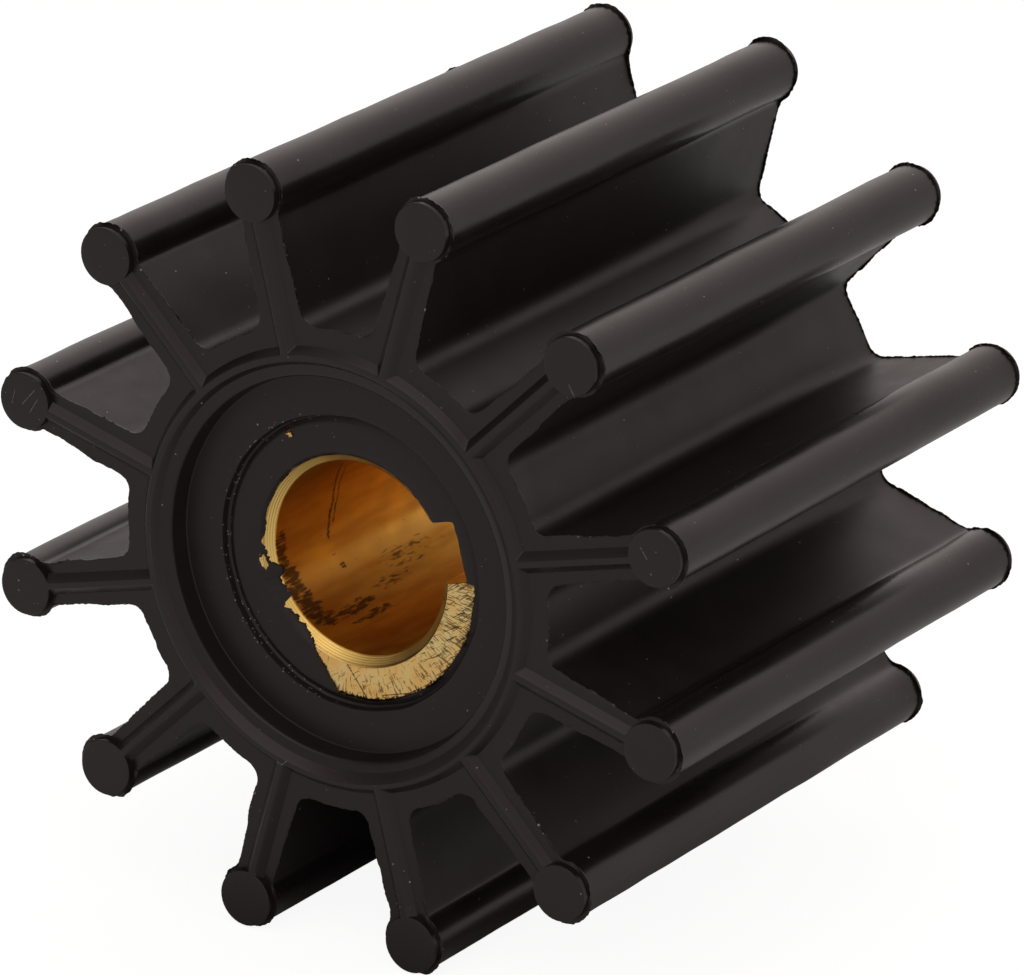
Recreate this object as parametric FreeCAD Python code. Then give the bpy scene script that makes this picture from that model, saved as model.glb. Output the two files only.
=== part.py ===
import FreeCAD, Part
import math
import os

# Flexible pump impeller of the 65 mm class: a rubber wheel moulded round a keyed brass bush.
# Millimetres. Y runs along the bore and the front face looks towards -Y. Z is up.
# The origin is the middle of the bore.
# Angles are counted from +Z, counter-clockwise as the front face shows them.
# Depths are counted from the crest plane, where the bulb faces, the ribs and the hub ring end.

# Whole wheel
crest_to_crest = 51.2
crest_height = 0.62
hub_radius = 19.65

# Blades: two tips point down, 15 degrees to each side, and the wheel lies on them
blade_count = 12
first_blade_angle = 15.0
tip_circle_radius = 30.45
bulb_radius = 2.46
bulb_face_radius = 2.36
web_thickness_at_hub = 3.9
web_thickness_at_bulb = 3.1
root_fillet = 1.45
bulb_fillet = 0.9

# Rib on each blade end, and the raised ring on the hub face
rib_crest_width = 0.5
rib_side_run = 0.62
ring_crest_radius = 17.4
ring_crest_width = 0.4
ring_outer_run = 0.55
ring_inner_run = 0.65

# Ledge inside the ring, the recess and the step down to the bush
ledge_width = 0.9
ledge_fall = 0.15
recess_wall_run = 0.15
recess_depth = 2.62
film_step_clearance = 0.72
film_step_run = 0.05

# Brass bush and the rubber film over its ends
bush_radius = 11.36
bush_face_depth = 3.27
bore_radius = 7.94
bore_chamfer = 0.8
film_thickness = 0.2
film_setback = 0.12
keyway_width = 5.0
brass_behind_keyway = 0.96
keyway_angle = 287.0

# Where the front film is torn away and leaves the brass bare, down to the keyway
tear_inner_angle = 148.0
tear_outer_angle = 173.0

# Extra length of the cutting and joining tools, past the faces that they meet
tool_overlap = 0.5

blade_pitch = 360.0 / blade_count
front_crest = -crest_to_crest / 2
ring_crest_outer_radius = ring_crest_radius + ring_crest_width / 2
ring_crest_inner_radius = ring_crest_radius - ring_crest_width / 2
film_hole_radius = bore_radius + bore_chamfer + film_setback
film_top_depth = bush_face_depth - film_thickness
film_step_radius = bush_radius + film_step_clearance
keyway_floor_radius = bush_radius - brass_behind_keyway
origin = FreeCAD.Vector(0, 0, 0)
along_bore = FreeCAD.Vector(0, 1, 0)


def polar(radius, angle, depth=None):
    """A point at a radius and an angle, in the middle plane or at a depth under the front crest."""
    turn = math.radians(angle)
    height = 0.0 if depth is None else front_crest + depth
    return FreeCAD.Vector(-radius * math.sin(turn), height, radius * math.cos(turn))


def on_blade(point, angle, depth=None):
    """A point given as (along the blade, across it) on the blade that stands at the angle."""
    along, across = point
    return polar(along, angle, depth) + polar(across, angle + 90.0)


def tangent_fillet(line_point, line_direction, circle_centre, circle_radius, fillet_radius, side):
    """Round the corner between a straight flank and a circle that bulges beside it.

    The fillet's centre is one fillet radius off the flank and a fillet radius plus the circle's
    radius from the circle's centre. side is +1 or -1 along the flank from the circle's centre.
    Returns the touching point on the circle, the middle of the arc and the point on the flank.
    """
    normal = (-line_direction[1], line_direction[0])
    offset = sum(n * (p - c) for n, p, c in zip(normal, line_point, circle_centre))
    across = offset + fillet_radius
    reach = circle_radius + fillet_radius
    along = side * math.sqrt(reach ** 2 - across ** 2)
    centre = [c + across * n + along * d for c, n, d in zip(circle_centre, normal, line_direction)]
    on_flank = [c - fillet_radius * n for c, n in zip(centre, normal)]
    share = circle_radius / reach
    on_circle = [q + share * (c - q) for q, c in zip(circle_centre, centre)]
    chord_middle = [(a + b) / 2 for a, b in zip(on_flank, on_circle)]
    sag = math.dist(chord_middle, centre)
    middle = [c + fillet_radius * (m - c) / sag for c, m in zip(centre, chord_middle)]
    return on_circle, middle, on_flank


def half_blade_points():
    """The points of one flank of a blade, from the hub to the bulb, as (along, across)."""
    root = (hub_radius, web_thickness_at_hub / 2)
    tip = (tip_circle_radius, web_thickness_at_bulb / 2)
    length = math.dist(root, tip)
    direction = ((tip[0] - root[0]) / length, (tip[1] - root[1]) / length)
    hub = tangent_fillet(root, direction, (0.0, 0.0), hub_radius, root_fillet, 1)
    bulb = tangent_fillet(root, direction, (tip_circle_radius, 0.0), bulb_radius, bulb_fillet, -1)
    return list(hub) + list(reversed(bulb))


def blade_edges(angle):
    """Outline of one blade and of the hub arc that leads to the next blade."""
    left = half_blade_points()
    right = [(along, -across) for along, across in left]
    a = [on_blade(point, angle) for point in right]
    b = [on_blade(point, angle) for point in left]
    tip = on_blade((tip_circle_radius + bulb_radius, 0.0), angle)
    next_start = on_blade(right[0], angle + blade_pitch)
    hub_middle = polar(hub_radius, angle + blade_pitch / 2)
    return [
        Part.Arc(a[0], a[1], a[2]).toShape(),
        Part.makeLine(a[2], a[3]),
        Part.Arc(a[3], a[4], a[5]).toShape(),
        Part.Arc(a[5], tip, b[5]).toShape(),
        Part.Arc(b[5], b[4], b[3]).toShape(),
        Part.makeLine(b[3], b[2]),
        Part.Arc(b[2], b[1], b[0]).toShape(),
        Part.Arc(b[0], hub_middle, next_start).toShape(),
    ]


def blade_angles():
    return [first_blade_angle + k * blade_pitch for k in range(blade_count)]


def wheel_block():
    """Hub and blades as one extrusion between the two parting faces."""
    edges = []
    for angle in blade_angles():
        edges += blade_edges(angle)
    face = Part.Face(Part.Wire(edges))
    face.translate(along_bore * (front_crest + crest_height))
    return face.extrude(along_bore * (crest_to_crest - 2 * crest_height))


def turned(profile):
    """Turn a profile of (radius, depth) corners round the bore."""
    corners = [FreeCAD.Vector(radius, front_crest + depth, 0) for radius, depth in profile]
    face = Part.Face(Part.makePolygon(corners + corners[:1]))
    return face.revolve(origin, along_bore, 360)


def tube_cutter(radius, depth):
    """A cylinder on the bore's axis that runs from a depth at the front to the same at the back."""
    length = crest_to_crest - 2 * depth
    return Part.makeCylinder(radius, length, along_bore * (front_crest + depth), along_bore)


def hub_ring():
    """Raised ring on the hub face. It is left too wide inside, where the recess cuts its slope."""
    inside = ring_crest_inner_radius - ring_inner_run - tool_overlap
    seat = crest_height + tool_overlap
    foot = ring_crest_outer_radius + ring_outer_run
    return turned([
        (inside, seat),
        (foot, seat),
        (foot, crest_height),
        (ring_crest_outer_radius, 0.0),
        (inside, 0.0),
    ])


def blade_rib(angle):
    """Bar with sloped sides that runs along a blade end, from the hub ring to the bulb face."""
    crest = rib_crest_width / 2
    foot = crest + rib_side_run
    seat = crest_height + tool_overlap
    flank = [(crest, 0.0), (foot, crest_height), (foot, seat)]
    section = flank + [(-across, depth) for across, depth in reversed(flank)]
    corners = [on_blade((ring_crest_radius, across), angle, depth) for across, depth in section]
    face = Part.Face(Part.makePolygon(corners + corners[:1]))
    return face.extrude(polar(tip_circle_radius - ring_crest_radius, angle))


def bulb_face(angle):
    """Flat disc that stands proud on the end of a bulb."""
    return Part.makeCylinder(bulb_face_radius, crest_height + tool_overlap,
                             polar(tip_circle_radius, angle, 0.0), along_bore)


def hub_recess():
    """Inner slope of the ring, ledge on the hub face, recess, and step down to the film's top."""
    ledge_foot = ring_crest_inner_radius - ring_inner_run
    ledge_edge = ledge_foot - ledge_width
    return turned([
        (0.0, -tool_overlap),
        (ring_crest_inner_radius, -tool_overlap),
        (ring_crest_inner_radius, 0.0),
        (ledge_foot, crest_height),
        (ledge_edge, crest_height + ledge_fall),
        (ledge_edge - recess_wall_run, recess_depth),
        (film_step_radius, recess_depth),
        (film_step_radius - film_step_run, film_top_depth),
        (0.0, film_top_depth),
    ])


def keyway_cutter(end_depth):
    """Straight slot from the bore's axis out to the keyway's floor, open at both ends."""
    half = keyway_width / 2
    corners = [(0.0, -half), (keyway_floor_radius, -half), (keyway_floor_radius, half), (0.0, half)]
    points = [on_blade(corner, keyway_angle, end_depth) for corner in corners]
    face = Part.Face(Part.makePolygon(points + points[:1]))
    return face.extrude(along_bore * (crest_to_crest - 2 * end_depth))


def torn_window():
    """The part of the front film that is missing, from the tear line round to the keyway."""
    side_angle = keyway_angle - math.degrees(math.asin(keyway_width / 2 / keyway_floor_radius))
    middle_angle = (tear_outer_angle + side_angle) / 2
    outside = 2 * bush_radius
    corners = [
        (bore_radius, tear_inner_angle),
        (bush_radius, tear_outer_angle),
        (outside, tear_outer_angle),
        (outside, middle_angle),
        (outside, side_angle),
        (0.0, side_angle),
    ]
    points = [polar(radius, angle, film_top_depth - tool_overlap) for radius, angle in corners]
    wedge = Part.Face(Part.makePolygon(points + points[:1]))
    wedge = wedge.extrude(along_bore * (film_thickness + 2 * tool_overlap))
    return wedge.common(tube_cutter(bush_radius, 0.0))


def mirrored(shape):
    return shape.mirror(origin, along_bore)


def rubber_wheel():
    """Wheel block with its end features, less the recesses and the seat of the bush."""
    front = [hub_ring()]
    front += [blade_rib(angle) for angle in blade_angles()]
    front += [bulb_face(angle) for angle in blade_angles()]
    raised = front + [mirrored(shape) for shape in front]
    hollow = [hub_recess(), mirrored(hub_recess()), tube_cutter(bush_radius, bush_face_depth)]
    hollow += [tube_cutter(film_hole_radius, 0.0), keyway_cutter(0.0), torn_window()]
    wheel = wheel_block().fuse(raised).removeSplitter()
    return wheel.cut(hollow).removeSplitter()


def brass_bush():
    """Plain bush with chamfered mouths and a keyway from end to end."""
    mouth = bore_radius + bore_chamfer
    past = bore_chamfer + tool_overlap
    chamfer = turned([
        (0.0, bush_face_depth - tool_overlap),
        (mouth + tool_overlap, bush_face_depth - tool_overlap),
        (mouth, bush_face_depth),
        (bore_radius, bush_face_depth + bore_chamfer),
        (0.0, bush_face_depth + past),
    ])
    bush = tube_cutter(bush_radius, bush_face_depth)
    return bush.cut([tube_cutter(bore_radius, 0.0), chamfer, mirrored(chamfer), keyway_cutter(0.0)])


def write_part(shape, name):
    solid = shape.Solids[0]
    print(f"{name}: {len(shape.Solids)} solid, valid {solid.isValid()}, "
          f"{solid.Volume / 1000:.2f} cm3, {len(solid.Faces)} faces")
    solid.exportStep(f"parts/{name}.step")


os.makedirs("parts", exist_ok=True)
write_part(rubber_wheel(), "rubber_wheel")
write_part(brass_bush(), "brass_bush")
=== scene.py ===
# %% [markdown]
# A flexible pump impeller: a black rubber wheel moulded round a brass bush. It lies on two of its
# twelve blades, as it would on a bench. The construction model gives the sizes and the place, and
# this lesson gives it its looks: the moulded edges, the ragged flash left by the mould, the torn
# rubber film over the brass, and the two materials.

# %% Load the construction model
import math
from collections import namedtuple
import bmesh
import bpy
import numpy as np
from mathutils import Matrix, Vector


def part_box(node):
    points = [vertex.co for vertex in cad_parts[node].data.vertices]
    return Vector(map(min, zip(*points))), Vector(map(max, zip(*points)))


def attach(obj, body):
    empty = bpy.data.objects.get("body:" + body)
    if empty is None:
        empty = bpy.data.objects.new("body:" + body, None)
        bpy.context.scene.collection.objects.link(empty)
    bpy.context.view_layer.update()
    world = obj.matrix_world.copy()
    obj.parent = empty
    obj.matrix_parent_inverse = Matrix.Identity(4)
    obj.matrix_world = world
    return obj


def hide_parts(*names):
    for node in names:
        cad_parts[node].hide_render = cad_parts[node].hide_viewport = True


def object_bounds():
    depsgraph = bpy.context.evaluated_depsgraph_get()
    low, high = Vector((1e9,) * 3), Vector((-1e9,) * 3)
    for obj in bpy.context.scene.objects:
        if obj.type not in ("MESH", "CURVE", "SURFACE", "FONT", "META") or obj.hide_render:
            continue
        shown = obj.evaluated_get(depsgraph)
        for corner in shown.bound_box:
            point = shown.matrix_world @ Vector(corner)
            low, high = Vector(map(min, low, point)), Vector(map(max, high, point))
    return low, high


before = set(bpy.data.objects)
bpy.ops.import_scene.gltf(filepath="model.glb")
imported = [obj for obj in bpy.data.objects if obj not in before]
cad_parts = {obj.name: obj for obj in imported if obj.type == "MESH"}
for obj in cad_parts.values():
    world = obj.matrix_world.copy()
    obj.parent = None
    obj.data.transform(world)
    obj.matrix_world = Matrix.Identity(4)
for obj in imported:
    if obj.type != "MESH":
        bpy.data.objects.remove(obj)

mm = 0.001
scene = bpy.context.scene
cad_low, cad_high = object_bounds()


def add_object(name, data):
    """Object at the origin, linked to the scene."""
    added = bpy.data.objects.new(name, data)
    scene.collection.objects.link(added)
    return added


print("construction model, mm:", [round(v / mm, 2) for v in cad_high - cad_low])

# %% [markdown]
# The camera stands where the photographer stood: to the right of the bore's axis, a little above
# the wheel, and far away with a long lens. The angles and the distance come from fitting a pinhole
# camera to the discs, the ring and the bore. A camera could also be aimed with a Track To
# constraint, but a product of turns and moves also holds the roll of the photographer's hands.

# %% Camera
picture_width = 1024
focal_length_in_pixels = 7868.9
sensor_width = 36.0
camera_azimuth = math.radians(32.900)
camera_elevation = math.radians(20.633)
camera_roll = math.radians(1.057)
camera_distance = 0.62903
aim_point = np.array([0.15, -0.17, -0.62]) * mm


def add_camera():
    """Camera moved back from the aim point along its own axis, after the three turns."""
    data = bpy.data.cameras.new("photo_camera")
    data.sensor_width = sensor_width
    data.lens = focal_length_in_pixels / picture_width * sensor_width
    scene.camera = add_object("photo_camera", data)
    scene.camera.matrix_world = (Matrix.Translation(aim_point)
                                 @ Matrix.Rotation(camera_azimuth, 4, "Z")
                                 @ Matrix.Rotation(math.pi / 2 - camera_elevation, 4, "X")
                                 @ Matrix.Rotation(camera_roll, 4, "Z")
                                 @ Matrix.Translation((0.0, 0.0, camera_distance)))


add_camera()
print("lens, mm:", round(scene.camera.data.lens, 2))

# %% [markdown]
# A finish is a recipe of patterns: noise, scattered dots, a rise between two values, a blend of
# two colours. Each becomes one short call on a value, and values can be added and multiplied like
# numbers. Lengths are in millimetres on the object's own coordinates, so a pattern stays where it
# is when the wheel is turned. Image textures could hold the same marks, but not without seams.

# %% Recipe of a finish
white = (1.0, 1.0, 1.0, 1.0)
zero = (0.0, 0.0, 0.0)


def feed(socket, source):
    """Link a value to the socket, or set a plain number, vector or colour."""
    if isinstance(source, Value):
        socket.id_data.links.new(source.socket, socket)
    else:
        socket.default_value = source


def new_node(tree, kind, *sources, operation=None, **named):
    """First result of a new node, fed in the order of its inputs, or by name with _ for a space."""
    node = tree.nodes.new("ShaderNode" + kind)
    if operation:
        node.operation = operation
    for socket, source in zip(node.inputs, sources):
        feed(socket, source)
    for name, source in named.items():
        feed(node.inputs[name.replace("_", " ")], source)
    return Value(node.outputs[0]) if node.outputs else None


class Value:
    """Result of a node: a number, a vector, a colour or a shader."""

    def __init__(self, socket):
        self.socket = socket
        self.node = socket.node
        self.tree = socket.id_data

    def output(self, name):
        """Another result of the same node."""
        return Value(self.node.outputs[name])

    def into(self, kind, *sources, **named):
        """First result of a new node that has this value as its first input."""
        return new_node(self.tree, kind, self, *sources, **named)

    def math(self, operation, other=0.0):
        return self.into("Math", other, operation=operation)

    def __add__(self, other):
        return self.math("ADD", other)

    def __mul__(self, other):
        return self.math("MULTIPLY", other)

    def vector(self, operation, other=zero, scale=1.0):
        result = self.into("VectorMath", other, zero, scale, operation=operation)
        return result.output(1) if operation in ("LENGTH", "DOT_PRODUCT") else result

    def parts(self, kind="XYZ"):
        """X, Y and Z of a vector, or red, green and blue of a colour."""
        return [Value(socket) for socket in self.into("Separate" + kind).node.outputs]

    def rise(self, low, high, bottom=0.0, top=1.0, shape="SMOOTHSTEP"):
        """Rise from bottom to top as this number goes from low to high."""
        result = self.into("MapRange", low, high, bottom, top)
        result.node.interpolation_type = shape
        return result

    def between(self, starts, full, ends, gone):
        """Smooth rise to 1 from starts to full, and smooth fall to 0 from ends to gone."""
        return self.rise(starts, full) * self.rise(gone, ends)

    def below(self, limit):
        return self.math("LESS_THAN", limit)

    def noise(self, scale, detail=2.0):
        """Smooth noise around 0.5 at this place, scale in waves per millimetre."""
        return self.into("TexNoise", Scale=scale, Detail=detail)

    def dots(self, scale):
        """Distance to the nearest of scattered points, and a random number for that point."""
        gap = self.into("TexVoronoi", Scale=scale)
        return gap, gap.output("Color").parts("Color")[0]

    def squeezed(self, turn, sizes):
        """This place turned, then squeezed along each axis, for streaks and scratches."""
        result = self.into("Mapping", Rotation=turn, Scale=sizes)
        result.node.vector_type = "TEXTURE"
        return result

    def line(self, start, end, width):
        """1 along the straight line between two points, 0 further off than half its width.

        The share of the way is the dot product of offset and run over the run's square, kept
        between 0 and 1, and the gap is the distance to the point at that share.
        """
        run = np.subtract(end, start)
        offset = self.vector("SUBTRACT", start)
        share = offset.vector("DOT_PRODUCT", run / run.dot(run))
        share = share.math("MAXIMUM", 0.0).math("MINIMUM", 1.0)
        nearest = new_node(self.tree, "VectorMath", run, zero, zero, share, operation="SCALE")
        return offset.vector("SUBTRACT", nearest).vector("LENGTH").rise(width / 2, width / 4)

    def strokes(self, marks, spot):
        """All lines of a given list: start, end and width. spot turns an entry into a place."""
        return greatest([self.line(spot(*start), spot(*end), width) for start, end, width in marks])

    def patch(self, centre, reach):
        """1 in the middle of an ellipse, falling smoothly to 0 at its edge."""
        offset = self.vector("SUBTRACT", centre).vector("DIVIDE", reach)
        return offset.vector("LENGTH").rise(1.0, 0.35)

    def blend(self, first, second):
        """Colour that goes from the first to the second as this number goes from 0 to 1."""
        mix = self.into("Mix")
        mix.node.data_type = "RGBA"
        feed(mix.node.inputs[6], first)
        feed(mix.node.inputs[7], second)
        return mix.output(2)


def greatest(values):
    largest = values[0]
    for value in values[1:]:
        largest = largest.math("MAXIMUM", value)
    return largest


def coordinates(owner, kind="Object", unit=mm):
    """Empty the node tree of a material or a world, and give its coordinates in the unit."""
    owner.use_nodes = True
    owner.node_tree.nodes.clear()
    return new_node(owner.node_tree, "TexCoord").output(kind).vector("SCALE", scale=1 / unit)


def finish(material, colour, roughness, height, reach, **constants):
    """Principled shader with bump of that reach in millimetres. Constants go on its sockets."""
    bump = new_node(colour.tree, "Bump", Strength=1.0, Distance=reach * mm, Height=height)
    shader = colour.into("BsdfPrincipled", Roughness=roughness, Normal=bump, **constants)
    shader.into("OutputMaterial")
    return material


print("scale of the patterns: 1 is one millimetre")

# %% [markdown]
# The stage is a wide pale floor under a plain studio sky. The floor is diffuse for the light that
# falls on the wheel, and for the camera and for reflections most of it is a plain white glow, so
# that the ground of the picture is white while the wheel keeps a soft shadow. More light would
# whiten the floor too, but it would wash out the rubber.

# %% Stage: floor
scene.view_settings.view_transform = "Standard"
floor_half_width = 3.0
floor_drop = 0.02 * mm
glow_rises_aside = (20.0, 40.0)
glow_rises_behind = (40.0, 250.0)
# Looks of the floor: glow under the wheel, around it and far behind it, and paleness
lighting_floor = (0.0, 0.0, 0.0, 0.8)
floor_looks = {"Is Glossy Ray": (0.0, 0.25, 0.4, 0.4), "Is Camera Ray": (0.92, 0.92, 0.92, 0.2)}


def floor_shader(x, y, under, around, behind, paleness):
    """Pale diffuse surface, which takes the shadow, plus a white glow by place.

    The glow rises with the larger of the distances aside and along, from under the wheel to around
    it, and once more far behind the wheel.
    """
    away = greatest([x.math("ABSOLUTE"), y.math("ABSOLUTE")])
    near = away.rise(*glow_rises_aside, under, around, "LINEAR")
    far = y.rise(*glow_rises_behind, 0.0, behind - around, "LINEAR")
    matt = new_node(x.tree, "BsdfDiffuse", (paleness, paleness, paleness, 1.0))
    return matt.into("AddShader", new_node(x.tree, "Emission", white, near + far))


def floor_material():
    """White for the camera with a faint shadow, and a deeper shadow for reflections and light."""
    material = bpy.data.materials.new("pale_floor")
    x, y = coordinates(material).parts()[:2]
    rays = new_node(x.tree, "LightPath")
    shown = floor_shader(x, y, *lighting_floor)
    for ray, look in floor_looks.items():
        shown = rays.output(ray).into("MixShader", shown, floor_shader(x, y, *look))
    shown.into("OutputMaterial")
    material.cycles.emission_sampling = "NONE"
    return material


def add_floor():
    """One square face just under the lowest point of the wheel."""
    height = cad_low.z - floor_drop
    w = floor_half_width
    mesh = bpy.data.meshes.new("floor")
    corners = [(-w, -w, height), (w, -w, height), (w, w, height), (-w, w, height)]
    mesh.from_pydata(corners, [], [(0, 1, 2, 3)])
    mesh.materials.append(floor_material())
    add_object("floor", mesh)
    print("floor height, mm:", round(height / mm, 3))


add_floor()

# %% [markdown]
# Black rubber shows little colour of its own. What the eye reads is what it reflects, so the sky is
# laid out as the studio was: a white sweep behind the wheel on the left, half as bright elsewhere,
# dark beside the wheel on the left, a weak light on the right, and one large soft light high in
# front, which draws the light sides of the ribs and of the ring. Area lamps could give that light
# too, but a glow in the sky has a soft edge, and it leaves no noise.

# %% Stage: sky
base_level = 0.46
# Glows: direction, dot products where each starts and is full, and level
glows = {
    "sweep": ((-0.5, 0.8, 0.0), -0.1, 1.15, 0.72),
    "key": ((0.0, -0.6, 0.8), 0.83, 0.97, 0.6),
    "side": ((0.8, -0.6, 0.0), 0.6, 1.0, 0.2),
}
dark_side = 0.9
dark_side_fades = (-0.98, -0.4)
sky_colour = (1.0, 0.90, 0.865, 1.0)


def add_sky():
    """An even level plus the glows, less the dark side, all by the ray's direction.

    Each glow is a smooth step of the dot product of the ray and its own direction, and the dark
    side is one of X. The camera sees plain white instead.
    """
    scene.world = bpy.data.worlds.new("studio")
    ray = coordinates(scene.world, "Generated", 1.0)
    level = base_level
    for toward, starts, full, strength in glows.values():
        closeness = ray.vector("DOT_PRODUCT", np.array(toward) / np.linalg.norm(toward))
        level = closeness.rise(starts, full, 0.0, strength) + level
    level = level * ray.parts()[0].rise(*dark_side_fades, 1.0 - dark_side, 1.0)
    light = new_node(ray.tree, "Background", sky_colour, level)
    plain = new_node(ray.tree, "Background", white, 1.0)
    to_camera = new_node(ray.tree, "LightPath").output("Is Camera Ray")
    to_camera.into("MixShader", light, plain).into("OutputWorld")


add_sky()
print("glows in the sky:", list(glows))

# %% [markdown]
# Every outline of the wheel's end is one closed line that goes round all twelve blades: the edge of
# the raised crest, the foot of its slope, and the outline of the moulding itself. They differ only
# in a few radii and widths, so one function makes them all, with the same number of points. Then
# point number n of one line belongs to point number n of the next, and the surface between two
# lines is a plain grid. Points on the end face are complex numbers here: the real part is up (Z),
# the imaginary part is left (-X), and turning a blade to its place is one multiplication.

# %% Sizes of the wheel, in millimetres
blade_count = 12
first_blade_angle = 15.0
tip_circle_radius = 30.45
hub_radius = 19.65
crest_height = 0.62
half_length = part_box("rubber_wheel")[1].y / mm
lowest_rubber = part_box("rubber_wheel")[0].z / mm
blade_angles = first_blade_angle + 360.0 / blade_count * np.arange(blade_count)
blade_turns = np.exp(1j * np.radians(blade_angles))

# Ring radius, half widths at the hub and at the tip, bulb radius, and the two corner radii
Outline = namedtuple("Outline", "ring root_half tip_half bulb root_corner neck_corner")
crest_line = Outline(17.6, 0.25, 0.25, 2.33, 0.15, 0.05)
foot_line = Outline(18.15, 0.87, 0.87, 2.37, 0.15, 0.05)
body_line = Outline(19.65, 1.95, 1.55, 2.46, 1.45, 0.9)
print("blade tips, mm:", tip_circle_radius + body_line.bulb)

# %% Outline of the blades
# Cells along half a blade: ring, root corner, flank, neck corner and bulb
blade_cells = (8, 5, 8, 5, 18)
ring_cells = blade_cells[0]
half_cells = sum(blade_cells)


def corner_between(point, direction, centre, radius, corner, side):
    """Centre and ends of the arc that rounds the corner between a line and a circle.

    The arc's centre is one corner radius off the line and a corner radius plus the circle's radius
    from the circle's centre. side is +1 or -1 along the line, seen from the circle's centre.
    """
    normal = direction * 1j
    across = ((point - centre) * np.conj(normal)).real + corner
    along = side * math.sqrt((radius + corner) ** 2 - across ** 2)
    arc_centre = centre + across * normal + along * direction
    on_line = arc_centre - corner * normal
    on_circle = centre + (arc_centre - centre) * radius / (radius + corner)
    return arc_centre, on_circle, on_line


def arc(centre, start, end, cells):
    """Points round the centre from the start's angle to the end's, the last left out."""
    turn = np.angle((end - centre) / (start - centre))
    steps = np.arange(cells) / cells
    return centre + (start - centre) * np.exp(1j * turn * steps)


def straight(start, end, cells):
    """Points from the start towards the end, the last left out."""
    return start + (end - start) * np.arange(cells) / cells


def half_blade(line, cells):
    """One side of a blade, from the gap's middle to the tip: ring, corner, flank, corner, bulb."""
    ring, root, flank, neck, bulb = cells
    start = hub_radius + 1j * line.root_half
    end = tip_circle_radius + 1j * line.tip_half
    direction = (end - start) / abs(end - start)
    root_centre, on_ring, root_end = corner_between(
        start, direction, 0j, line.ring, line.root_corner, 1)
    neck_centre, on_bulb, neck_start = corner_between(
        start, direction, tip_circle_radius + 0j, line.bulb, line.neck_corner, -1)
    gap_middle = line.ring * np.exp(1j * math.pi / blade_count)
    round_bulb = np.angle(on_bulb - tip_circle_radius) * (1 - np.arange(bulb) / bulb)
    return np.concatenate([
        arc(0j, gap_middle, on_ring, ring),
        arc(root_centre, on_ring, root_end, root),
        straight(root_end, neck_start, flank),
        arc(neck_centre, neck_start, on_bulb, neck),
        tip_circle_radius + line.bulb * np.exp(1j * round_bulb),
        [tip_circle_radius + line.bulb],
    ])


def blade_row(line, cells=blade_cells):
    """Closed line round all blades: the right side of each, its tip, and its left side mirrored."""
    left = half_blade(line, cells)
    blade = np.concatenate([np.conj(left), left[-2:0:-1]])
    return (blade_turns[:, None] * blade[None, :]).ravel()


def outward(closed_line):
    """Unit normals of a closed line that runs counter-clockwise, from its neighbours' chord."""
    chord = np.roll(closed_line, -1) - np.roll(closed_line, 1)
    return -1j * chord / abs(chord)


print("points on each outline:", len(blade_row(body_line)))

# %% [markdown]
# Nothing that was moulded or turned is perfectly smooth. One helper gives all unevenness: a few
# dozen waves of different directions and lengths added up, with seeded phases, so that it comes
# out the same each time. A noise texture on a Displace modifier would do the same, but here the
# formula can also drive a ragged edge.

# %% Unevenness
def waves(seed, dimensions, longest, shortest, count=24):
    """A smooth random function: sum of sines with wave lengths between two limits, rms about 1."""
    random = np.random.default_rng(seed)
    lengths = shortest * (longest / shortest) ** random.random(count)
    directions = random.normal(size=(count, dimensions))
    directions /= np.linalg.norm(directions, axis=1)[:, None]
    numbers = directions * (2 * math.pi / lengths)[:, None]
    phases = random.random(count) * 2 * math.pi
    weights = np.sqrt(lengths / lengths.mean())
    weights *= math.sqrt(2.0 / (weights ** 2).sum())

    def value(*coordinates):
        angle = sum(np.multiply.outer(c, numbers[:, k]) for k, c in enumerate(coordinates))
        return (np.sin(angle + phases) * weights).sum(-1)

    return value


def notches(seed, length, spacing, depth):
    """Sharp bites along a line of that length: triangles of random place, width and depth."""
    random = np.random.default_rng(seed)
    count = int(length / spacing)
    places = random.random(count) * length
    widths = spacing * (0.3 + 0.9 * random.random(count))
    depths = depth * random.random(count) ** 2

    def value(along):
        gap = abs((along[:, None] - places[None, :] + length / 2) % length - length / 2)
        return (depths * np.clip(1 - gap / widths, 0, 1)).max(1)

    return value


sample = waves(1, 1, 5.0, 0.5)(np.linspace(0, 60, 2000))
print("unevenness rms:", round(float(sample.std()), 2))

# %% [markdown]
# The mesh grows row by row. A row is a closed line of points at a depth under the crest plane, and
# a band is the ring of four-sided faces between two rows. The back end is the front end reflected,
# so its faces are turned round as they are added. A Screw modifier could carry a section round an
# axis too, but not along the outline of twelve blades.

# %% Mesh that grows row by row
sharp_degrees = 32


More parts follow.
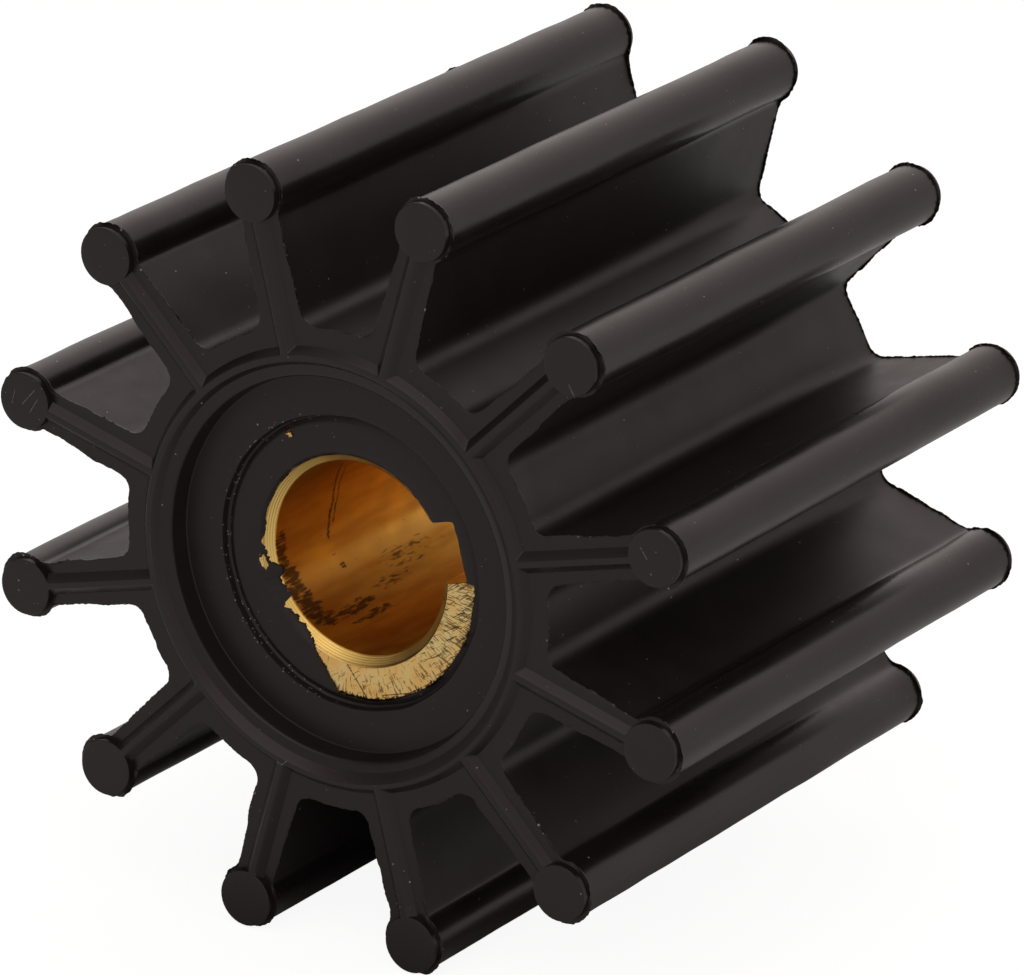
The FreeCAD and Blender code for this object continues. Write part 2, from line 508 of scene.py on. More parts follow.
class Moulding:
    """Points and faces in millimetres. Rows are point numbers. side is 1 in front and -1 behind."""

    def __init__(self):
        self.points = []
        self.faces = []
        self.count = 0
        self.side = 1

    def row(self, plan, depth):
        """Add a line of points, given on the end face, at a depth under this side's crest plane."""
        depth = np.broadcast_to(depth, plan.shape)
        along = (depth - half_length) * self.side
        self.points.append(np.column_stack([-plan.imag, along, plan.real]))
        numbers = self.count + np.arange(len(plan))
        self.count += len(plan)
        return numbers

    def add_faces(self, corners):
        corners = np.asarray(corners)
        self.faces.append(corners if self.side == 1 else corners[:, ::-1])

    def band(self, first, second):
        """Ring of quads between two closed rows, the second further along the section."""
        self.add_faces(np.column_stack([first, second, np.roll(second, -1), np.roll(first, -1)]))

    def inward(self, outer, plan, depth):
        """Add a row and join it to the row outside it."""
        inner = self.row(plan, depth)
        self.band(inner, outer)
        return inner

    def onward(self, inner, plan, depth):
        """Add a row and join it to the row before it, on the way outward or to the back."""
        following = self.row(plan, depth)
        self.band(inner, following)
        return following

    def ladder(self, first, second):
        """Quads between two tables of open rows, one row for each blade."""
        quads = [first[:, :-1], second[:, :-1], second[:, 1:], first[:, 1:]]
        self.add_faces(np.stack(quads, -1).reshape(-1, 4))

    def widening_band(self, fine, coarse):
        """Ring of faces from a fine row out to a coarse one that has one point for several."""
        share = len(fine) // len(coarse)
        steps = np.arange(share, -1, -1)
        inner = fine[(share * np.arange(len(coarse))[:, None] + steps[None, :]) % len(fine)]
        self.add_faces(np.column_stack([coarse, np.roll(coarse, -1), inner]))

    def mesh(self):
        """The finished mesh in metres, shaded smooth but for edges sharper than the limit."""
        mesh = bpy.data.meshes.new("moulding")
        faces = [face for block in self.faces for face in block.tolist()]
        mesh.from_pydata(np.concatenate(self.points) * mm, [], faces)
        mesh.shade_smooth()
        mesh.set_sharp_from_angle(angle=math.radians(sharp_degrees))
        return mesh


def add_piece(name, mesh, material):
    """Object that rides on the one body. Its volume is positive when its faces look outward."""
    mesh.name = name
    mesh.materials.append(material)
    piece = add_object(name, mesh)
    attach(piece, "root")
    solid = bmesh.new()
    solid.from_mesh(mesh)
    volume = solid.calc_volume(signed=True) * 1e6
    solid.free()
    print(f"{name}: {len(mesh.polygons)} faces, {volume:.3f} cm3")
    return piece


def rounded(corners, reaches, steps):
    """Profile through corner points, each inner one rounded by a short curve of its own reach.

    The curve is quadratic, with the corner as its control point.
    """
    corners = np.asarray(corners, float)
    rows = [corners[:1]]
    for before, corner, after, reach in zip(corners[:-2], corners[1:-1], corners[2:], reaches):
        start = corner + (before - corner) * min(0.45, reach / np.linalg.norm(before - corner))
        end = corner + (after - corner) * min(0.45, reach / np.linalg.norm(after - corner))
        t = np.linspace(0, 1, steps + 1)[:, None]
        rows.append((1 - t) ** 2 * start + 2 * t * (1 - t) * corner + t ** 2 * end)
    rows.append(corners[-1:])
    return np.concatenate(rows)


print("edges sharper than this stay sharp, degrees:", sharp_degrees)

# %% [markdown]
# The rubber wheel is one moulding, so it is one closed surface. Its section starts at the torn edge
# of the film over the brass, climbs the step, crosses the recess, climbs the wall to the ledge and
# the ring, falls down the slopes of ring, ribs and discs to the parting face, runs along the blades
# to the back end and does the same there in reverse. Subdividing the construction model would
# keep its sharp edges, and a boolean would leave slivers, so it is laid out row by row instead.

# %% Sizes of the recess and the film, in millimetres
# Corners from the ring's crest inward: radius, depth, and how much the circle is off centre
recess_depth = 2.62
recess_corners = [(17.4, 0.0, 0.0), (17.15, 0.0, -0.1), (16.57, 0.6, 0.1), (15.65, 0.77, 0.0),
                  (15.5, recess_depth, 0.0), (14.6, recess_depth, 0.0)]
recess_reaches = (0.05, 0.08, 0.28, 0.1)
off_centre_angle = 35.0
floor_radii = (13.8, 12.9)
step_corners = [(12.3, recess_depth), (12.08, recess_depth), (12.0, 3.2), (11.8, 3.34),
                (11.38, 3.08), (11.2, 3.05)]
step_reaches = (0.05, 0.08, 0.06, 0.08)
film_top_depth = 3.07
film_under_depth = 3.26
bush_radius = 11.36
film_hole_radius = 8.84
chamfer_mouth_radius = 8.74
keyway_angle = 287.0
keyway_half_width = 2.5
keyway_floor_radius = 10.4
bare_from_angle = 172.5
# Edge of the front film, from the top of the bore counter-clockwise: angle in degrees and radius
front_edge = [(0, 8.66), (88, 8.62), (92, 8.8), (95, 8.55), (104, 8.4), (108, 7.75), (112, 7.8),
              (114, 8.05), (125, 7.95), (127, 8.3), (129, 8.55), (132, 8.3), (138, 8.2),
              (140, 8.35), (143.5, 8.2), (146, 8.4), (155, 8.6), (160, 9.3), (165, 9.9),
              (168, 10.5), (172, 11.1), (272, 11.1), (273, 8.8), (318, 8.74), (319.5, 8.45),
              (321, 8.45), (323, 8.75), (360, 8.66)]
corner_softness = 9.0
key_softness = 3.2
ladder_cells = 4
fine_share = 4


def smooth_step(low, high, value):
    """0 below low, 1 above high, and a smooth rise between them."""
    t = np.clip((value - low) / (high - low), 0, 1)
    return t * t * (3 - 2 * t)


def film_edge(angles, torn):
    """Radius of the film's ragged edge at each angle: hole, keyway and the bare window in front.

    In the keyway the edge follows its floor, at floor radius over cosine, and its walls, at half
    width over sine, with soft corners: a logarithm of summed powers rounds a maximum or a minimum.
    The hole is round at the back and follows the listed points at the front. Where they lie inside
    the chamfer's mouth the film hangs over the chamfer. The bites are coarse on the left of the
    bore and along the tear.
    """
    degrees = np.degrees(angles) % 360
    turn = (angles - math.radians(keyway_angle) + math.pi) % (2 * math.pi) - math.pi
    hole = np.interp(degrees, *zip(*front_edge)) if torn else np.full(len(angles), film_hole_radius)
    wall = keyway_half_width / np.maximum(abs(np.sin(turn)), 1e-6)
    floor_line = keyway_floor_radius / np.maximum(np.cos(turn), 0.1)
    key = -np.logaddexp(-key_softness * floor_line, -key_softness * wall) / key_softness
    soft = np.logaddexp(corner_softness * hole, corner_softness * key) / corner_softness
    radius = np.where(abs(turn) < math.pi / 3, soft, hole)
    if torn:
        side_angle = keyway_angle - math.degrees(math.asin(keyway_half_width / keyway_floor_radius))
        bare = (degrees > bare_from_angle) & (degrees < side_angle)
        radius = np.where(bare, np.maximum(radius, bush_radius), radius)
    along = (angles % (2 * math.pi)) * film_hole_radius
    length = 2 * math.pi * film_hole_radius
    rough = 0.35 + 0.25 * smooth_step(8, 40, degrees) + 0.4 * smooth_step(90, 96, degrees)
    rough = rough * (1 - 0.8 * smooth_step(176, 184, degrees))
    bites = notches(11 if torn else 12, length, 0.2, 0.17)(along)
    frills = notches(13, length, 0.1, 0.12)(along)
    sway = waves(14, 1, 6.0, 1.2)(along) * 0.04
    uneven = radius + rough * (bites + frills - 0.1) + sway
    return np.minimum(uneven, bush_radius + 0.16)


print("film edge, mm:", film_edge(np.radians([0.0, 90.0, 160.0, 220.0]), True).round(2))

# %% One end of the wheel
edge_round = 0.07
edge_steps = 4
slope_depths = (0.18, crest_height)
body_edge = 0.05
recess_unevenness = 0.012
step_unevenness = 0.02
film_unevenness = 0.015
film_swell = 0.05
film_edge_droop = 0.05
film_shares = (0.35, 0.7, 0.9, 0.98)
overhang_starts = 0.03
overhang_slope = 0.95
foot_to_outline = 0.3


def crest_rows():
    """Rows from the crest's edge to the moulding's outline, each as its points and its depth.

    Each row lies a share of the way from the crest line to the foot line, as its depth is to the
    crest's height, and the first rows are pulled inward along a quarter circle to round the edge.
    """
    crest = blade_row(crest_line)
    foot = blade_row(foot_line)
    body = blade_row(body_line)
    normal = outward(crest)
    turn = np.linspace(0, math.pi / 2, edge_steps + 1)
    depths = np.concatenate([edge_round * (1 - np.cos(turn)), slope_depths])
    insets = np.concatenate([edge_round * (1 - np.sin(turn)), np.zeros(len(slope_depths))])
    rows = [(crest + (foot - crest) * depth / crest_height - normal * inset, depth)
            for depth, inset in zip(depths, insets)]
    return rows + [(foot + (body - foot) * foot_to_outline, crest_height),
                   (body - outward(body) * body_edge, crest_height),
                   (body, crest_height + body_edge)]


def blade_tops(wheel, crest, outline):
    """Flat tops of ribs and discs, in a few strips from side to side of each blade.

    Returns the inner edge of the ring's crest, which crosses the foot of each rib, as point
    numbers and as angles.
    """
    per_blade = 2 * half_cells
    blades = np.arange(blade_count)[:, None] * per_blade
    gap = (blades + np.arange(per_blade - ring_cells + 1, per_blade + ring_cells)) % len(crest)
    shares = np.arange(1, ladder_cells) / ladder_cells

    def across(step):
        """Places and numbers of the points across each blade, that many cells from its gap."""
        right = blades + step
        left = blades + per_blade - step
        inside = crest[right] + (crest[left] - crest[right]) * shares
        inner = wheel.row(inside.ravel(), 0.0).reshape(blade_count, -1)
        return (np.hstack([crest[right], inside, crest[left]]),
                np.hstack([outline[right], inner, outline[left]]))

    foot_places, foot = across(ring_cells)
    previous = foot
    for step in range(ring_cells + 1, half_cells - ladder_cells // 2):
        current = across(step)[1]
        wheel.ladder(previous, current)
        previous = current
    tip = outline[blades + half_cells + np.arange(-(ladder_cells // 2), ladder_cells // 2 + 1)]
    wheel.ladder(previous, tip)
    plan = np.hstack([foot_places, crest[gap]]).ravel()
    return np.hstack([foot, outline[gap]]).ravel(), np.unwrap(np.angle(plan))


def recess(wheel, outer, angles):
    """Inner slope of the ring, ledge, wall and floor: circles a little off centre, one by one."""
    profile = rounded(recess_corners, recess_reaches, 3)
    profile = np.concatenate([profile, [(radius, recess_depth, 0.0) for radius in floor_radii]])
    sag = waves(21, 2, 18.0, 5.0)
    off_centre = np.cos(angles - math.radians(off_centre_angle))
    for radius, depth, shift in profile:
        plan = (radius + shift * off_centre) * np.exp(1j * angles)
        dip = recess_unevenness * sag(plan.real, plan.imag) * (depth > 0)
        outer = wheel.inward(outer, plan, depth + dip)
    return outer


def film(wheel, outer, angles, torn):
    """Step by the bush and film, in rows of finer points, down to the seat of the bush.

    The film swells between the step and its edge, and droops at the edge and over the chamfer.
    Under the edge the rows go back outward to the bush's outer radius.
    """
    spread = np.arange(len(outer) * fine_share) / fine_share
    closed = np.append(angles, angles[0] + 2 * math.pi)
    angles = np.interp(spread, np.arange(len(closed)), closed)
    directions = np.exp(1j * angles)
    edge = film_edge(angles, torn)
    ripple = waves(22, 2, 9.0, 2.0)

    def hang(radius):
        return overhang_slope * np.maximum(film_hole_radius - overhang_starts - radius, 0.0)

    for number, (radius, depth) in enumerate(rounded(step_corners, step_reaches, 2)):
        wobble = step_unevenness * ripple(radius * directions.real, radius * directions.imag)
        plan = np.maximum(radius + wobble * (number > 1), edge + 0.01) * directions
        inner = wheel.row(plan, depth)
        join = wheel.band if number else wheel.widening_band
        join(inner, outer)
        outer = inner
    start = step_corners[-1][0]
    for share in film_shares:
        radius = np.maximum(start + (edge - start) * share, edge + 0.012 * (1 - share))
        plan = radius * directions
        depth = film_top_depth + film_unevenness * ripple(plan.real, plan.imag)
        depth += film_edge_droop * share ** 8 - film_swell * math.sin(math.pi * share) ** 2
        outer = wheel.inward(outer, plan, depth + hang(radius))
    mouth = np.maximum(chamfer_mouth_radius, edge + 0.03)
    sunk = np.maximum(chamfer_mouth_radius - edge, 0.0)
    for radius, depth in ((edge, film_top_depth + 0.08 + hang(edge)),
                          (edge, film_under_depth - 0.03 + sunk),
                          (edge + 0.02, film_under_depth + np.maximum(sunk - 0.02, 0.0)),
                          (mouth, film_under_depth),
                          (np.maximum(bush_radius, mouth + 0.03), film_under_depth)):
        outer = wheel.inward(outer, radius * directions, depth)
    return outer


def wheel_end(wheel, side, torn):
    """Tops, recess, film and outer slopes of one end. Returns its inmost and outmost rows."""
    wheel.side = side
    rows = crest_rows()
    crest = rows[0][0]
    inner = outline = wheel.row(crest, 0.0)
    ring, angles = blade_tops(wheel, crest, outline)
    seat = film(wheel, recess(wheel, ring, angles), angles, torn)
    for plan, depth in rows[1:]:
        inner = wheel.onward(inner, plan, depth)
    return seat, inner


print("rows from the crest to the outline:", len(crest_rows()))

# %% The whole wheel
body_rows = 22
row_bunching = 0.97 * math.pi / 2
body_unevenness = 0.022
unevenness_fades = 2.0


def kept_above(plan, lowest):
    """The same points, with none lower than a height."""
    return np.maximum(plan.real, lowest) + 1j * plan.imag


def rubber_wheel_mesh():
    """Both ends, joined outside by rows along the blades and inside by the seat of the bush."""
    wheel = Moulding()
    front_seat, front_edge = wheel_end(wheel, 1, True)
    back_seat, back_edge = wheel_end(wheel, -1, False)
    wheel.side = 1
    wheel.band(back_seat, front_seat)
    body = blade_row(body_line)
    normal = outward(body)
    uneven = waves(31, 3, 14.0, 3.0)
    near = crest_height + body_edge
    shares = np.linspace(-1, 1, body_rows)
    bunched = np.sin(shares * row_bunching) / math.sin(row_bunching)
    depths = half_length + (half_length - near) * bunched
    inner = front_edge
    for depth in depths[1:-1]:
        from_end = min(depth, 2 * half_length - depth) - near
        fade = smooth_step(0.0, unevenness_fades, from_end)
        shift = body_unevenness * fade * uneven(body.real, body.imag, np.full(len(body), depth))
        inner = wheel.onward(inner, kept_above(body + normal * shift, lowest_rubber), depth)
    wheel.band(inner, back_edge)
    return wheel.mesh()


print("rows along the blades:", body_rows)

# %% [markdown]
# The mould closes on the two end faces, and a little rubber creeps into the seam. It stays on the
# part as a thin ragged fin round the whole outline, torn where the wheel was pulled out. From in
# front it draws the dark band beside each disc and the light ragged edge of the blades. The fin is
# a small section carried along the outline, and its height, thickness and bend change all the time.

# %% Flash fins
fin_path_cells = (24, 12, 24, 10, 60)
fin_path_step = 0.13
fin_height_on_webs = 0.1
fin_height_on_bulbs = 0.2
fin_height_limits = (0.04, 0.4)
fin_thickness = 0.1
fin_serration = 0.018
fin_bend = 0.05
fin_root = 0.16
fin_section = np.array([(-1.0, 0.0), (0.45, 0.0), (0.9, 0.08), (1.0, 0.5),
                        (0.92, 0.95), (0.4, 1.15), (-1.0, 1.3)])


def even_path(closed_line, step):
    """Points at even distances along a closed line, by interpolating its length."""
    ring = np.append(closed_line, closed_line[0])
    length = np.concatenate([[0.0], np.cumsum(abs(np.diff(ring)))])
    count = round(length[-1] / step)
    at = np.arange(count) / count * length[-1]
    return np.interp(at, length, ring.real) + 1j * np.interp(at, length, ring.imag), at, length[-1]


def fin_mesh(side, seed):
    """Fin section carried along the moulding's outline.

    The height is a mean value times slow waves, plus fine serration, less sharp bites. Each section
    point lies its share of the height outward and its share of the thickness inward from the
    parting face.
    """
    path, along, length = even_path(blade_row(body_line, fin_path_cells), fin_path_step)
    normal = outward(path)
    slow = waves(seed, 1, 9.0, 3.0)(along)
    fine = waves(seed + 1, 1, 0.9, 0.28)(along)
    bend = waves(seed + 2, 1, 7.0, 1.5)(along)
    bites = notches(seed + 3, length, 0.9, 0.16)(along)
    tags = notches(seed + 4, length, 5.0, 0.12)(along)
    round_bulb = smooth_step(27.6, 29.0, abs(path))
    mean = fin_height_on_webs + (fin_height_on_bulbs - fin_height_on_webs) * round_bulb
    height = mean * (1 + 0.16 * slow) + fin_serration * fine - bites + tags
    height = np.clip(height, *fin_height_limits)
    thickness = fin_thickness * (1 + 0.2 * fine)
    fin = Moulding()
    fin.side = side
    rows = []
    for reach, level in fin_section:
        out = height * reach if reach > 0 else np.full(len(path), -fin_root)
        lean = fin_bend * bend * max(reach, 0.0) ** 2
        plan = kept_above(path + normal * out, lowest_rubber + 0.01)
        rows.append(fin.row(plan, crest_height + 0.015 + thickness * level + lean))
    for first, second in zip(rows, rows[1:] + rows[:1]):
        fin.band(first, second)
    return fin.mesh()


print("fin height on webs and bulbs, mm:", fin_height_on_webs, fin_height_on_bulbs)

# %% [markdown]
# The bush is plain turned brass with a keyway cut from end to end. Its section is carried round
# the bore and the keyway together: two outlines with the same number of points, one at the
# chamfer's mouth and one at the bore, and the chamfer between them carries the fine grooves of the
# tool. Knife-sharp grooves would not show at this size, so they are a shallow sine.

# %% Brass bush
bush_face_depth = 3.27
bore_radius = 7.94
bore_chamfer = 0.8
bore_arc_cells = 480
keyway_wall_cells = 6
keyway_floor_cells = 10
chamfer_rows = 44
groove_pitch = 0.21
groove_depth = 0.012
face_unevenness = 0.004
rim_bevel = 0.12
mouth_bevel = 0.02
# Rows of the face: share of the way from the rim to the mouth, and drop under the face
face_rows = ((0.0, 0.05), (0.03, 0.0), (0.3, 0.0), (0.65, 0.0), (0.97, 0.0), (1.0, mouth_bevel))
bore_rows = 12


def bore_row(radius):
    """Closed line round the bore at a radius and round the keyway, turned to the keyway's angle."""
    along = math.sqrt(radius ** 2 - keyway_half_width ** 2)
    corner = along + 1j * keyway_half_width
    deep = keyway_floor_radius + 1j * keyway_half_width
    open_angle = 2 * math.pi - 2 * np.angle(corner)
    local = np.concatenate([
        corner * np.exp(1j * straight(0.0, open_angle, bore_arc_cells)),
        straight(np.conj(corner), np.conj(deep), keyway_wall_cells),
        straight(np.conj(deep), deep, keyway_floor_cells),
        straight(deep, corner, keyway_wall_cells),
    ])
    return local * np.exp(1j * math.radians(keyway_angle))


def bush_end(bush, side):
    """Rim, face and grooved chamfer of one end, from the outer cylinder to the bore."""
    bush.side = side
    mouth = bore_row(bore_radius + bore_chamfer)
    bore = bore_row(bore_radius)
    rim = bush_radius * mouth / abs(mouth)
    dents = waves(41, 2, 6.0, 0.8)
    outer = rim_row = bush.row(rim, bush_face_depth + rim_bevel)
    for share, drop in face_rows:
        plan = rim + (mouth - rim) * share
        dent = face_unevenness * dents(plan.real, plan.imag)
        outer = bush.inward(outer, plan, bush_face_depth + drop + dent)
    slant = bore_chamfer * math.sqrt(2)
    for share in np.linspace(0, 1, chamfer_rows)[1:]:
        groove = groove_depth * math.sin(2 * math.pi * share * slant / groove_pitch)
        plan = mouth + (bore - mouth) * share
        depth = bush_face_depth + mouth_bevel + (bore_chamfer - mouth_bevel) * share
        outer = bush.inward(outer, plan * (1 + groove / abs(plan)), depth)
    return rim_row, outer


def brass_bush_mesh():
    """Both ends, joined along the bore and along the outer cylinder."""
    bush = Moulding()
    front_rim, front_bore = bush_end(bush, 1)
    back_rim, back_bore = bush_end(bush, -1)
    bush.side = 1
    bush.band(front_rim, back_rim)
    bore = bore_row(bore_radius)
    first = bush_face_depth + bore_chamfer
    last = 2 * half_length - first
    outer = front_bore
    for depth in np.linspace(first, last, bore_rows)[1:-1]:
        outer = bush.inward(outer, bore, depth)
    bush.band(back_bore, outer)
    return bush.mesh()


print("points round the bore and the keyway:", len(bore_row(bore_radius)))

# %% [markdown]
# The rubber is a satin black with a warm cast. Up close it carries grey dust, a few scratches from
# handling, and a lint fibre on the ring. The fins have more light crumbs, where they tore from the
# mould. The colour hardly changes, so the faint mottling goes into the roughness, which the soft
# light turns into slightly paler and darker patches. The flanks and the hub are rougher than the
# bulbs and the end faces, and so is the inner slope of the ring, which would mirror the brass.

# %% Rubber
dark_rubber = (0.0100, 0.0076, 0.0074, 1.0)
worn_rubber = (0.0115, 0.0087, 0.0085, 1.0)
crest_rubber = (0.0150, 0.0114, 0.0109, 1.0)
dust_grey = (0.42, 0.38, 0.35, 1.0)
brass_dust = (0.3, 0.17, 0.09, 1.0)
rubber_shine = {"IOR": 1.45, "Specular_Tint": (1.0, 0.95, 0.94, 1.0)}
across_bore = (1.0, 0.0, 1.0)
# Scratches on the front faces: start and end as X and Z in mm, and the width
scratches = [((-28.4, 9.0), (-29.6, 7.6), 0.05), ((-28.1, 8.3), (-28.9, 7.0), 0.04),
             ((-30.3, 8.7), (-30.6, 7.5), 0.04), ((28.2, 8.5), (28.8, 7.7), 0.06),
             ((21.5, 20.1), (22.0, 19.3), 0.06), ((29.15, 6.6), (29.22, 6.5), 0.12),
             ((-5.2, -16.9), (-4.4, -17.1), 0.05), ((-4.4, -17.1), (-4.0, -16.7), 0.05),
             ((13.0, -3.4), (14.2, -2.9), 0.05), ((-9.0, 9.6), (-8.2, 10.4), 0.04)]


def on_face(x, z):
    return (x, 0.0, z)


def rubber_material(name, crumb_size):
    """Faint mottling, dust dots, crumbs, scratches, and brass dust on the step by the bush."""
    material = bpy.data.materials.new(name)
    place = coordinates(material)
    x, y, z = place.parts()
    mottle = place.noise(0.3, 3.0)
    patches = place.noise(1.1, 3.0)
    grain = place.noise(5.0)
    flat = place.vector("MULTIPLY", across_bore)
    radius = flat.vector("LENGTH")
    from_middle = y.math("ABSOLUTE")
    in_front = y.below(1.0 - half_length)
    colour = mottle.rise(0.35, 0.65).blend(dark_rubber, worn_rubber)
    colour = from_middle.rise(half_length - 0.3, half_length - 0.1).blend(colour, crest_rubber)

    gap, chance = place.dots(0.8)
    dust = gap.below(chance.rise(0.2, 1.0, 0.01, 0.06)) * patches.rise(0.4, 0.6, 0.3, 1.0)
    gap, chance = place.dots(2.6)
    crumbs = gap.below(chance.rise(0.3, 1.0, 0.0, crumb_size)) * mottle.rise(0.5, 0.64, 0.0, 0.7)
    scuffs = flat.strokes(scratches, on_face) * in_front * grain.rise(0.36, 0.5, 0.1, 0.6)
    residue = radius.between(11.5, 11.7, 12.1, 12.6) * x.rise(2.0, -6.0) * gap.below(0.16) * 0.6
    colour = greatest([dust, crumbs, scuffs, residue]).blend(colour, dust_grey)

    torn = z.rise(-4.0, -8.0, 0.0, 0.9) * in_front * radius.between(11.2, 11.3, 11.6, 11.95)
    torn = torn * (patches + grain * 0.8).rise(0.86, 0.98)
    colour = torn.blend(colour, brass_dust)

    on_slope = radius.between(16.3, 16.5, 17.2, 17.4) * x.rise(4.0, 9.0, 0.0, 0.3)
    on_end = from_middle.rise(half_length - 1.0, half_length - 0.7)
    smoother = greatest([radius.rise(27.8, 28.6), on_end])
    roughness = (mottle + patches * 0.3).rise(0.45, 0.85, 0.27, 0.32) + on_slope
    roughness = roughness + smoother.rise(0.0, 1.0, 0.16, 0.0)
    return finish(material, colour, roughness, grain, 0.003, **rubber_shine)


rubber = rubber_material("moulded_rubber", 0.1)
torn_rubber = rubber_material("torn_rubber", 0.3)
print("rubber nodes:", len(rubber.node_tree.nodes))

# %% [markdown]
# The bush is bare brass. Its face is scratched by the key and the shaft, its chamfer keeps the
# rings of the tool, and its bore has the brown skin that years of water leave. The recipe tells
# them apart by the distance from the axis. Shade is painted into the chamfer's grooves, towards
# its top and towards the top of the bore, and a highlight is painted along the bore. For the marks
# in the bore the wall is unrolled: one coordinate is the way round from the bottom, the other the
# depth from the front.

# %% Brass
face_brass = (1.0, 0.60, 0.18, 1.0)
pale_brass = (1.0, 0.77, 0.33, 1.0)
chamfer_brass = (0.95, 0.62, 0.19, 1.0)
# Dark brass of the scratches on the face, also used as painted shade on the chamfer
scratch_and_shade_brass = (0.10, 0.055, 0.03, 1.0)
brown_skin = (0.58, 0.27, 0.03, 1.0)
orange_skin = (0.84, 0.48, 0.07, 1.0)
# Light brass of the keyway, also used as the painted highlight along the bore
keyway_and_highlight_brass = (1.0, 0.70, 0.22, 1.0)
# Dark brown of the stains, scratches and rim, also used as painted shade at the top of the bore
stain_and_shade = (0.07, 0.03, 0.012, 1.0)
# Scratches on the front face of the bush: start and end as X and Z in mm, and the width
face_lines = [((-0.5, -8.8), (1.4, -11.2), 0.17), ((2.8, -10.6), (5.4, -9.8), 0.11),
              ((5.4, -9.8), (7.3, -8.5), 0.11), ((6.3, -6.9), (7.9, -6.1), 0.08)]
# Lines on the bore's wall: angles and depths of both ends, and the width
bore_lines = [((59, 11.5), (85, 11.9), 0.34), ((85, 11.9), (105, 10.9), 0.4),
              ((64, 12.5), (84, 12.5), 0.2), ((84, 12.5), (98, 11.9), 0.22)]
# Stained places on the bore's wall: strength, angle, depth, half sizes round the bore and along it
bore_stains = [(0.8, 96, 4.6, 1.8, 1.3), (1.0, 118, 5.0, 2.0, 1.7), (1.0, 138, 5.4, 2.0, 2.0),
               (1.0, 107, 4.6, 1.4, 1.2), (1.0, 128, 5.2, 1.6, 1.8), (0.9, 147, 6.0, 1.2, 2.6),
               (1.0, 149, 9.5, 0.8, 4.4), (0.9, 158, 11.0, 0.6, 4.5), (0.6, 144, 15.0, 0.9, 5.0),
               (0.5, 134, 19.0, 1.6, 6.0), (1.0, 123.7, 11.5, 0.5, 0.5)]
# Angle round the bore of the painted highlight
highlight_angle = math.radians(122.0)


def scratched_face(place, flat, radius, turn, cloud, speckle, hatch):
    """Pale and yellow clouds under radial hatching, short cuts, long scratches and a dark rim."""
    across = place.squeezed((0.0, 0.9, 0.0), (0.22, 1.0, 2.4)).noise(2.0, 1.0)
    nicks = place.squeezed((0.0, -0.5, 0.0), (2.4, 1.0, 0.22)).noise(2.0, 1.0)
    right = turn.rise(0.45, 1.2, 0.0, 0.07)
    hatching = hatch + right + radius.rise(9.0, 11.2, 0.0, 0.08)
    cuts = greatest([across, nicks]) + right
    long_cuts = flat.strokes(face_lines, on_face) * speckle.rise(0.3, 0.5, 0.4, 0.9)
    face = cloud.rise(0.3, 0.7).blend(face_brass, pale_brass)
    face = hatching.rise(0.62, 0.70, 0.0, 0.75).blend(face, scratch_and_shade_brass)
    face = cuts.rise(0.70, 0.74, 0.0, 0.85).blend(face, scratch_and_shade_brass)
    face = long_cuts.blend(face, stain_and_shade)
    return (radius + speckle * 1.2).rise(11.72, 11.9).blend(face, stain_and_shade)


def ringed_chamfer(radius, turn, z, speckle):
    """Painted shade in the grooves at the tool's pitch, towards the top and at the lower right."""
    grooves = (radius * (2 * math.pi * math.sqrt(2) / groove_pitch)).math("SINE").rise(0.0, 0.8)
    chamfer = chamfer_brass
    # Painted shade: in the grooves, towards the top and at the lower right
    for share in (grooves * speckle.rise(0.3, 0.6, 0.25, 0.6), z.rise(-3.0, 8.0, 0.0, 0.55),
                  turn.between(0.05, 0.45, 0.8, 1.2) * 0.5):
        chamfer = share.blend(chamfer, scratch_and_shade_brass)
    return chamfer


def on_wall(angle, depth):
    """Unrolled place of a point of the bore's wall."""
    return (math.radians(angle - 180) * bore_radius, depth, 0.0)


def stained_bore(place, around, turn, y, z, speckle):
    """Brown skin with streaks along the bore, a painted highlight band, painted shade at the top,
    stains and scratches.
    """
    streaks = place.squeezed(zero, (1.0, 6.0, 1.0)).noise(0.8, 4.0)
    fine = place.squeezed(zero, (0.7, 3.5, 0.7)).noise(3.0, 4.0)
    skin = streaks.rise(0.3, 0.7, 0.2, 0.9).blend(brown_skin, orange_skin)
    # Painted highlight: a light band along the bore's wall at one angle
    bright = (-math.sin(highlight_angle), 0.0, math.cos(highlight_angle))
    band = around.vector("DOT_PRODUCT", bright).rise(0.985, 1.0, 0.0, 0.5)
    skin = band.blend(skin, keyway_and_highlight_brass)
    # Painted shade: darker towards the top of the bore
    skin = z.rise(1.5, 8.0, 0.0, 0.45).blend(skin, stain_and_shade)
    sway = speckle * 0.5 + -0.25
    wall = new_node(place.tree, "CombineXYZ", turn * bore_radius + sway, y + half_length + sway)
    stains = greatest([wall.patch(on_wall(angle, depth), (*reach, 1.0)) * strength
                       for strength, angle, depth, *reach in bore_stains])
    skin = (stains * 0.36 + fine).rise(0.66, 0.86, 0.0, 0.85).blend(skin, stain_and_shade)
    lines = wall.strokes(bore_lines, on_wall) * speckle.rise(0.3, 0.5, 0.3, 0.85)
    return lines.blend(skin, stain_and_shade)


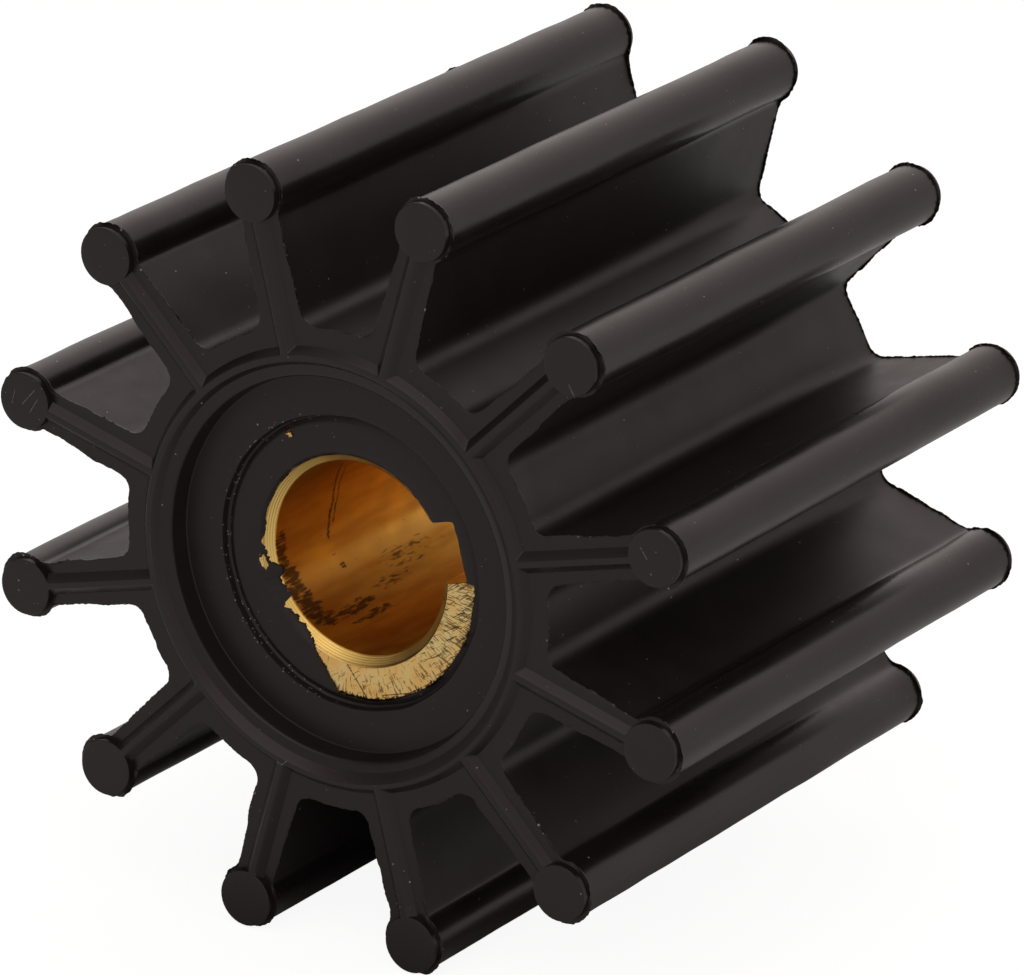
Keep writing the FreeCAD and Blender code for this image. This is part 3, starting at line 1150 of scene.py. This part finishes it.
def brass_material():
    """Face, chamfer, keyway and bore by place, with a bump of hatching and of rings in the bore."""
    material = bpy.data.materials.new("turned_brass")
    place = coordinates(material)
    x, y, z = place.parts()
    flat = place.vector("MULTIPLY", across_bore)
    radius = flat.vector("LENGTH")
    around = flat.vector("NORMALIZE")
    turn = x.math("ARCTAN2", z * -1.0)
    cloud = place.noise(0.5, 4.0)
    speckle = place.noise(4.5, 3.0)
    spread = around.vector("SCALE", scale=70.0).vector("ADD", place.vector("SCALE", scale=1.5))
    hatch = spread.noise(1.0)
    rings = place.squeezed(zero, (12.0, 0.35, 12.0)).noise(1.0, 3.0)
    mouth = bore_radius + bore_chamfer
    face_level = half_length - bush_face_depth
    in_bore = radius.rise(bore_radius + 0.09, bore_radius + 0.02)
    on_chamfer = radius.rise(mouth + 0.03, mouth - 0.02)
    inside = y.math("ABSOLUTE").rise(face_level - 0.1, face_level - 0.3)
    colour = scratched_face(place, flat, radius, turn, cloud, speckle, hatch)
    colour = on_chamfer.blend(colour, ringed_chamfer(radius, turn, z, speckle))
    colour = inside.blend(colour, keyway_and_highlight_brass)
    colour = in_bore.blend(colour, stained_bore(place, around, turn, y, z, speckle))
    roughness = (cloud + in_bore * 0.25).rise(0.3, 0.9, 0.27, 0.45)
    return finish(material, colour, roughness, hatch * 0.6 + rings * 0.8, 0.006, Metallic=1.0)


brass = brass_material()
print("brass nodes:", len(brass.node_tree.nodes))

# %% [markdown]
# Two crumbs of brass lie on the film: a flake that was lifted at the chamfer, and a small lump near
# the step. Each is a ball of rows, pushed in and out by waves and squeezed to its size.

# %% Crumbs of brass
crumb_rows = 10
crumb_cells = 28
crumb_unevenness = 0.28


def crumb_mesh(angle, radius, depth, reach, seed):
    """Ball squeezed to the reach (outward, round, deep), with a waved surface."""
    lump = Moulding()
    uneven = waves(seed, 2, 3.0, 0.6)
    outward_turn = np.exp(1j * math.radians(angle))
    around = 2 * math.pi * np.arange(crumb_cells) / crumb_cells
    rows = []
    for height in np.linspace(0.04, math.pi - 0.04, crumb_rows):
        swell = uneven(2 * np.cos(around) + height, 2 * np.sin(around) - height)
        across = (1 + crumb_unevenness * swell) * math.sin(height)
        plan = radius + across * (reach[0] * np.cos(around) + 1j * reach[1] * np.sin(around))
        rows.append(lump.row(plan * outward_turn, depth - reach[2] * math.cos(height)))
    lump.add_faces([rows[0]])
    for first, second in zip(rows, rows[1:]):
        lump.band(first, second)
    lump.add_faces([rows[-1][::-1]])
    return lump.mesh()


crumbs = {"brass_flake": (103.0, 8.85, 3.2, (0.32, 0.62, 0.1), 71),
          "brass_lump": (33.0, 11.2, 3.02, (0.3, 0.24, 0.14), 72)}
print("crumbs of brass:", list(crumbs))

# %% [markdown]
# Now the pieces are made and take the place of the two construction solids. The flash is a piece
# of its own only to keep each mesh light; on the real wheel it is one with the rubber.

# %% Pieces
wheel = add_piece("rubber_wheel_moulding", rubber_wheel_mesh(), rubber)
add_piece("flash_front", fin_mesh(1, 51), torn_rubber)
add_piece("flash_back", fin_mesh(-1, 61), torn_rubber)
for name, place in crumbs.items():
    add_piece(name, crumb_mesh(*place), brass)
bush = add_piece("brass_bush_turned", brass_bush_mesh(), brass)
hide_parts("rubber_wheel")
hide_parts("brass_bush")
